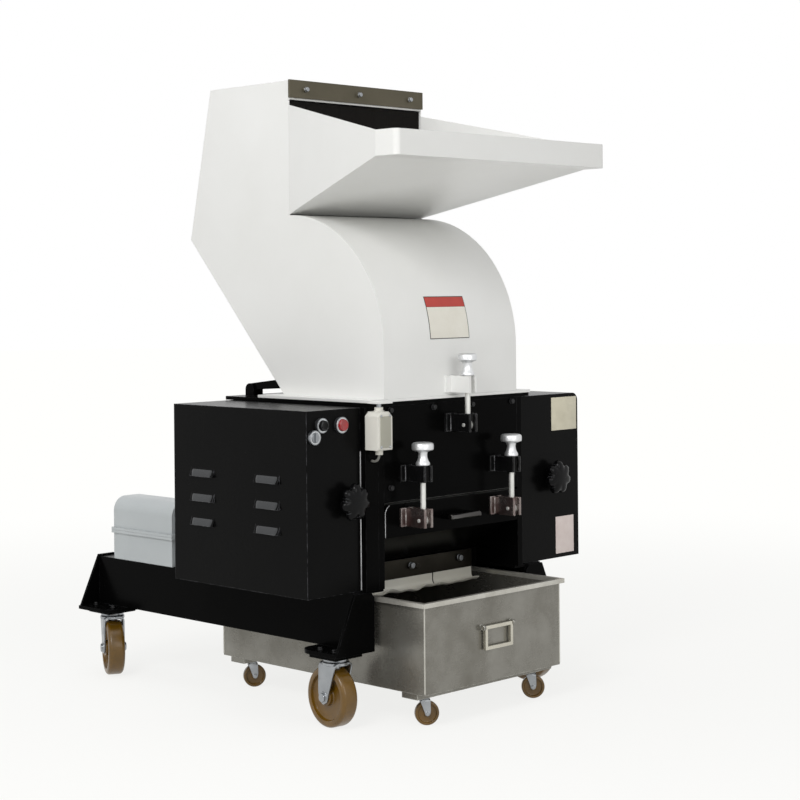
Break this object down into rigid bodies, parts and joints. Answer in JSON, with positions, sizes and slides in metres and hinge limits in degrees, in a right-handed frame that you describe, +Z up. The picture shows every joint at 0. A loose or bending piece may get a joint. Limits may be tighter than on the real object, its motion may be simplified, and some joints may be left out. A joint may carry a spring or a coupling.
{
  "type": "plastic granulator",
  "caption": "Wheeled plastic granulator: tilting white hopper with feed tray over a belt-driven knife rotor, side doors, drop-down screen cradle and a rolling granule bin.",
  "frame": {"origin": "on the floor, under the middle of the machine's bounding box", "axes": "+Z up, -Y towards the front with the feed tray and the bin, +X to the right seen from the front"},
  "size_m": [0.852, 1.035, 1.346],
  "materials": {
    "satin_black_paint": "satin black stove enamel",
    "hopper_white_paint": "smooth off-white paint",
    "bare_steel": "plain machined steel",
    "stainless_sheet": "brushed stainless sheet",
    "zinc_plate": "zinc plated pressed steel",
    "aluminium_knob": "turned bare aluminium",
    "grey_cover": "light grey paint",
    "black_plastic": "moulded black plastic",
    "red_plastic": "red moulded button",
    "switch_body": "cream-grey die cast switch",
    "black_rubber": "black rubber",
    "pale_flap": "pale milky sheet",
    "amber_wheel": "amber polyurethane",
    "clamp_bar_steel": "dark bronze-toned steel bar",
    "motor_paint": "blue-grey machine paint",
    "knife_steel": "ground tool steel"
  },
  "bodies": {
    "machine": {"base_frame": "satin_black_paint", "chamber_sides": "satin_black_paint", "chamber_walls": "satin_black_paint", "top_plate": "satin_black_paint", "fixed_knives": "knife_steel", "bearing_housings": "bare_steel", "bearing_box": "satin_black_paint", "motor_body": "motor_paint", "drive_belts": "black_rubber", "top_clamp_rod": "zinc_plate", "limit_switch": "switch_body", "starter_box_base": "grey_cover", "starter_box_lid": "grey_cover"},
    "hopper": {"hopper_shell": "hopper_white_paint", "feed_tray": "hopper_white_paint", "curtain_bar": "clamp_bar_steel", "hinge_arms": "satin_black_paint"},
    "curtain_flap": {"curtain": "black_rubber"},
    "hopper_knob": {"top_clamp_knob": "aluminium_knob"},
    "cradle": {"cradle_frame": "satin_black_paint", "screen": "bare_steel", "cradle_rods": "zinc_plate", "discharge_chute": "satin_black_paint", "discharge_strip": "stainless_sheet", "apron_flaps": "pale_flap"},
    "left_knob": {"left_clamp_knob": "aluminium_knob"},
    "right_knob": {"right_clamp_knob": "aluminium_knob"},
    "left_door": {"belt_guard": "satin_black_paint", "switch_bezels": "zinc_plate"},
    "left_star": {"left_star_knob": "black_plastic"},
    "selector_switch": {"selector": "zinc_plate"},
    "start_push": {"start_button": "black_plastic"},
    "stop_push": {"stop_button": "red_plastic"},
    "right_door": {"flywheel_guard": "satin_black_paint"},
    "right_star": {"right_star_knob": "black_plastic"},
    "rotor": {"rotor_shaft": "bare_steel", "rotor_hub": "bare_steel", "rotor_knives": "knife_steel", "flywheel": "bare_steel", "rotor_pulley": "bare_steel"},
    "motor_shaft": {"motor_rotor": "bare_steel"},
    "switch_plunger": {"limit_plunger": "zinc_plate"},
    "bin": {"bin_body": "stainless_sheet"},
    "bin_bail": {"bin_handle": "zinc_plate"},
    "front_left_fork": {"front_left_fork": "zinc_plate"},
    "front_left_wheel": {"front_left_wheel": "amber_wheel"},
    "front_right_fork": {"front_right_fork": "zinc_plate"},
    "front_right_wheel": {"front_right_wheel": "amber_wheel"},
    "rear_left_fork": {"rear_left_fork": "zinc_plate"},
    "rear_left_wheel": {"rear_left_wheel": "amber_wheel"},
    "rear_right_fork": {"rear_right_fork": "zinc_plate"},
    "rear_right_wheel": {"rear_right_wheel": "amber_wheel"},
    "bin_front_left_fork": {"bin_front_left_fork": "zinc_plate"},
    "bin_front_left_wheel": {"bin_front_left_wheel": "amber_wheel"},
    "bin_front_right_fork": {"bin_front_right_fork": "zinc_plate"},
    "bin_front_right_wheel": {"bin_front_right_wheel": "amber_wheel"},
    "bin_rear_left_fork": {"bin_rear_left_fork": "zinc_plate"},
    "bin_rear_left_wheel": {"bin_rear_left_wheel": "amber_wheel"},
    "bin_rear_right_fork": {"bin_rear_right_fork": "zinc_plate"},
    "bin_rear_right_wheel": {"bin_rear_right_wheel": "amber_wheel"}
  },
  "joints": [
    {"name": "hopper_tilt", "type": "hinge", "parent": "machine", "child": "hopper", "pos_m": [-0.007, 0.059, 0.671], "axis": [-1, 0, 0], "range_deg": [0, 90]},
    {"name": "curtain_swing", "type": "hinge", "parent": "hopper", "child": "curtain_flap", "pos_m": [-0.007, -0.0672, 1.3007], "axis": [1, 0, 0], "range_deg": [0, 75]},
    {"name": "hopper_knob_turn", "type": "hinge", "parent": "hopper", "child": "hopper_knob", "pos_m": [-0.007, -0.4005, 0.73], "axis": [0, 0, 1], "continuous": true},
    {"name": "cradle_drop", "type": "hinge", "parent": "machine", "child": "cradle", "pos_m": [-0.007, -0.0925, 0.43], "axis": [1, 0, 0], "range_deg": [0, 22]},
    {"name": "left_knob_turn", "type": "hinge", "parent": "machine", "child": "left_knob", "pos_m": [-0.146, -0.4005, 0.55], "axis": [0, 0, 1], "continuous": true},
    {"name": "right_knob_turn", "type": "hinge", "parent": "machine", "child": "right_knob", "pos_m": [0.132, -0.4005, 0.55], "axis": [0, 0, 1], "continuous": true},
    {"name": "belt_guard_swing", "type": "hinge", "parent": "machine", "child": "left_door", "pos_m": [-0.27, 0.0815, 0.46], "axis": [0, 0, -1], "range_deg": [0, 90]},
    {"name": "left_star_turn", "type": "hinge", "parent": "left_door", "child": "left_star", "pos_m": [-0.308, -0.3645, 0.461], "axis": [0, -1, 0], "continuous": true},
    {"name": "selector_turn", "type": "hinge", "parent": "left_door", "child": "selector_switch", "pos_m": [-0.4025, -0.3525, 0.596], "axis": [0, -1, 0], "range_deg": [-45, 45]},
    {"name": "start_press", "type": "slide", "parent": "left_door", "child": "start_push", "axis": [0, 1, 0], "range_m": [0, 0.004], "stiffness_N_per_m": 400},
    {"name": "stop_press", "type": "slide", "parent": "left_door", "child": "stop_push", "axis": [0, 1, 0], "range_m": [0, 0.004], "stiffness_N_per_m": 400},
    {"name": "flywheel_guard_swing", "type": "hinge", "parent": "machine", "child": "right_door", "pos_m": [0.219, 0.0815, 0.46], "axis": [0, 0, 1], "range_deg": [0, 90]},
    {"name": "right_star_turn", "type": "hinge", "parent": "right_door", "child": "right_star", "pos_m": [0.328, -0.3645, 0.461], "axis": [0, -1, 0], "continuous": true},
    {"name": "rotor_spin", "type": "hinge", "parent": "machine", "child": "rotor", "pos_m": [-0.007, -0.2315, 0.465], "axis": [1, 0, 0], "continuous": true},
    {"name": "motor_spin", "type": "hinge", "parent": "machine", "child": "motor_shaft", "pos_m": [-0.007, 0.0175, 0.386], "axis": [1, 0, 0], "continuous": true},
    {"name": "plunger_slide", "type": "slide", "parent": "machine", "child": "switch_plunger", "axis": [0, 0, 1], "range_m": [0, 0.003]},
    {"name": "bin_slide", "type": "slide", "parent": "machine", "child": "bin", "axis": [0, -1, 0], "range_m": [0, 0.375]},
    {"name": "bin_handle_flip", "type": "hinge", "parent": "bin", "child": "bin_bail", "pos_m": [-0.007, -0.481, 0.1865], "axis": [-1, 0, 0], "range_deg": [0, 90]},
    {"name": "front_left_swivel", "type": "hinge", "parent": "machine", "child": "front_left_fork", "pos_m": [-0.315, -0.3125, 0.135], "axis": [0, 0, 1], "continuous": true},
    {"name": "front_left_roll", "type": "hinge", "parent": "front_left_fork", "child": "front_left_wheel", "pos_m": [-0.31387, -0.30055, 0.0625], "axis": [0.9956, -0.0941, 0], "continuous": true},
    {"name": "front_right_swivel", "type": "hinge", "parent": "machine", "child": "front_right_fork", "pos_m": [0.301, -0.3125, 0.135], "axis": [0, 0, 1], "continuous": true},
    {"name": "front_right_roll", "type": "hinge", "parent": "front_right_fork", "child": "front_right_wheel", "pos_m": [0.29987, -0.30055, 0.0625], "axis": [0.9956, 0.0941, 0], "continuous": true},
    {"name": "rear_left_swivel", "type": "hinge", "parent": "machine", "child": "rear_left_fork", "pos_m": [-0.301, 0.4605, 0.135], "axis": [0, 0, 1], "continuous": true},
    {"name": "rear_left_roll", "type": "hinge", "parent": "rear_left_fork", "child": "rear_left_wheel", "pos_m": [-0.30662, 0.44989, 0.0625], "axis": [-0.8838, 0.4679, 0], "continuous": true},
    {"name": "rear_right_swivel", "type": "hinge", "parent": "machine", "child": "rear_right_fork", "pos_m": [0.287, 0.4605, 0.135], "axis": [0, 0, 1], "continuous": true},
    {"name": "rear_right_roll", "type": "hinge", "parent": "rear_right_fork", "child": "rear_right_wheel", "pos_m": [0.29262, 0.44989, 0.0625], "axis": [-0.8838, -0.4679, 0], "continuous": true},
    {"name": "bin_front_left_swivel", "type": "hinge", "parent": "bin", "child": "bin_front_left_fork", "pos_m": [-0.178, -0.4295, 0.054], "axis": [0, 0, 1], "continuous": true},
    {"name": "bin_front_left_roll", "type": "hinge", "parent": "bin_front_left_fork", "child": "bin_front_left_wheel", "pos_m": [-0.17407, -0.43225, 0.025], "axis": [-0.5736, -0.8192, 0], "continuous": true},
    {"name": "bin_front_right_swivel", "type": "hinge", "parent": "bin", "child": "bin_front_right_fork", "pos_m": [0.156, -0.4295, 0.054], "axis": [0, 0, 1], "continuous": true},
    {"name": "bin_front_right_roll", "type": "hinge", "parent": "bin_front_right_fork", "child": "bin_front_right_wheel", "pos_m": [0.15939, -0.43289, 0.025], "axis": [-0.7071, -0.7071, 0], "continuous": true},
    {"name": "bin_rear_left_swivel", "type": "hinge", "parent": "bin", "child": "bin_rear_left_fork", "pos_m": [-0.178, 0.1055, 0.054], "axis": [0, 0, 1], "continuous": true},
    {"name": "bin_rear_left_roll", "type": "hinge", "parent": "bin_rear_left_fork", "child": "bin_rear_left_wheel", "pos_m": [-0.17384, 0.1031, 0.025], "axis": [-0.5, -0.866, 0], "continuous": true},
    {"name": "bin_rear_right_swivel", "type": "hinge", "parent": "bin", "child": "bin_rear_right_fork", "pos_m": [0.156, 0.1055, 0.054], "axis": [0, 0, 1], "continuous": true},
    {"name": "bin_rear_right_roll", "type": "hinge", "parent": "bin_rear_right_fork", "child": "bin_rear_right_wheel", "pos_m": [0.15909, 0.10182, 0.025], "axis": [-0.766, -0.6428, 0], "continuous": true}
  ],
  "couplings": [
    {"joint": "motor_spin", "follows": "rotor_spin", "ratio": 2.1905},
    {"joint": "plunger_slide", "follows": "hopper_tilt", "m_per_rad": 0.0019}
  ]
}
